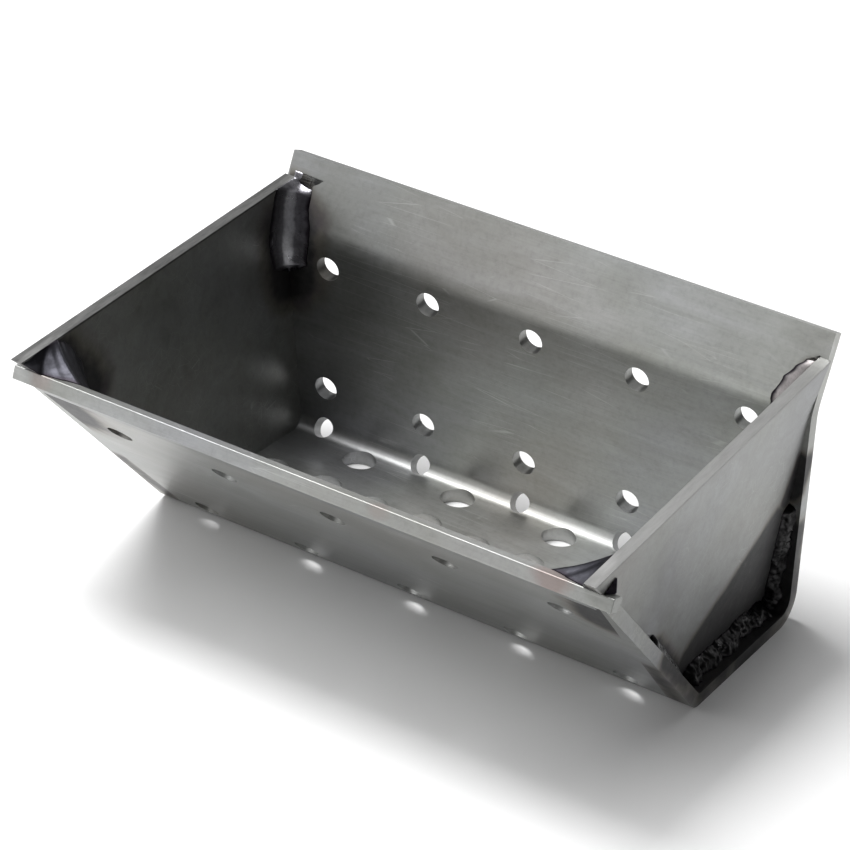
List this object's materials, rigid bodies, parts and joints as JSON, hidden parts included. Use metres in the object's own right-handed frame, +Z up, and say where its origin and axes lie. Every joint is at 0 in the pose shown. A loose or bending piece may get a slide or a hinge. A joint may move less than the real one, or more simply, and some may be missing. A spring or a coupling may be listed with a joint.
{
  "type": "perforated scoop bucket",
  "caption": "Fabricated steel scoop bucket: a folded perforated plate trough with a sloped front wall, raked rear flange, leaning welded end plates and a lip bar.",
  "frame": {"origin": "middle of the footprint, on the plane the flat floor rests on", "axes": "+X along the bucket between the end plates, +Y toward the drilled mounting wall, -Y toward the lip, +Z up"},
  "size_m": [0.2658, 0.1962, 0.1333],
  "materials": {
    "mill_steel": "bare hot-rolled plate with smudged mill scale, fine scratches and heat tint beside the welds",
    "weld_metal": "as-laid weld bead with ripples, dark violet and blue oxide and soot at its edges"
  },
  "bodies": {
    "root": {"trough_sheet": "mill_steel", "left_end_plate": "mill_steel", "right_end_plate": "mill_steel", "front_lip_bar": "mill_steel", "lip_weld": "weld_metal", "rear_left_inner_weld": "weld_metal", "rear_right_inner_weld": "weld_metal", "front_left_corner_weld": "weld_metal", "front_right_corner_weld": "weld_metal", "left_tip_weld": "weld_metal", "right_tip_weld": "weld_metal", "left_lip_end_weld": "weld_metal", "right_lip_end_weld": "weld_metal", "left_floor_seam_weld": "weld_metal", "left_rear_seam_weld": "weld_metal", "left_front_seam_weld": "weld_metal", "right_floor_seam_weld": "weld_metal", "right_rear_seam_weld": "weld_metal", "right_front_seam_weld": "weld_metal"}
  },
  "joints": []
}
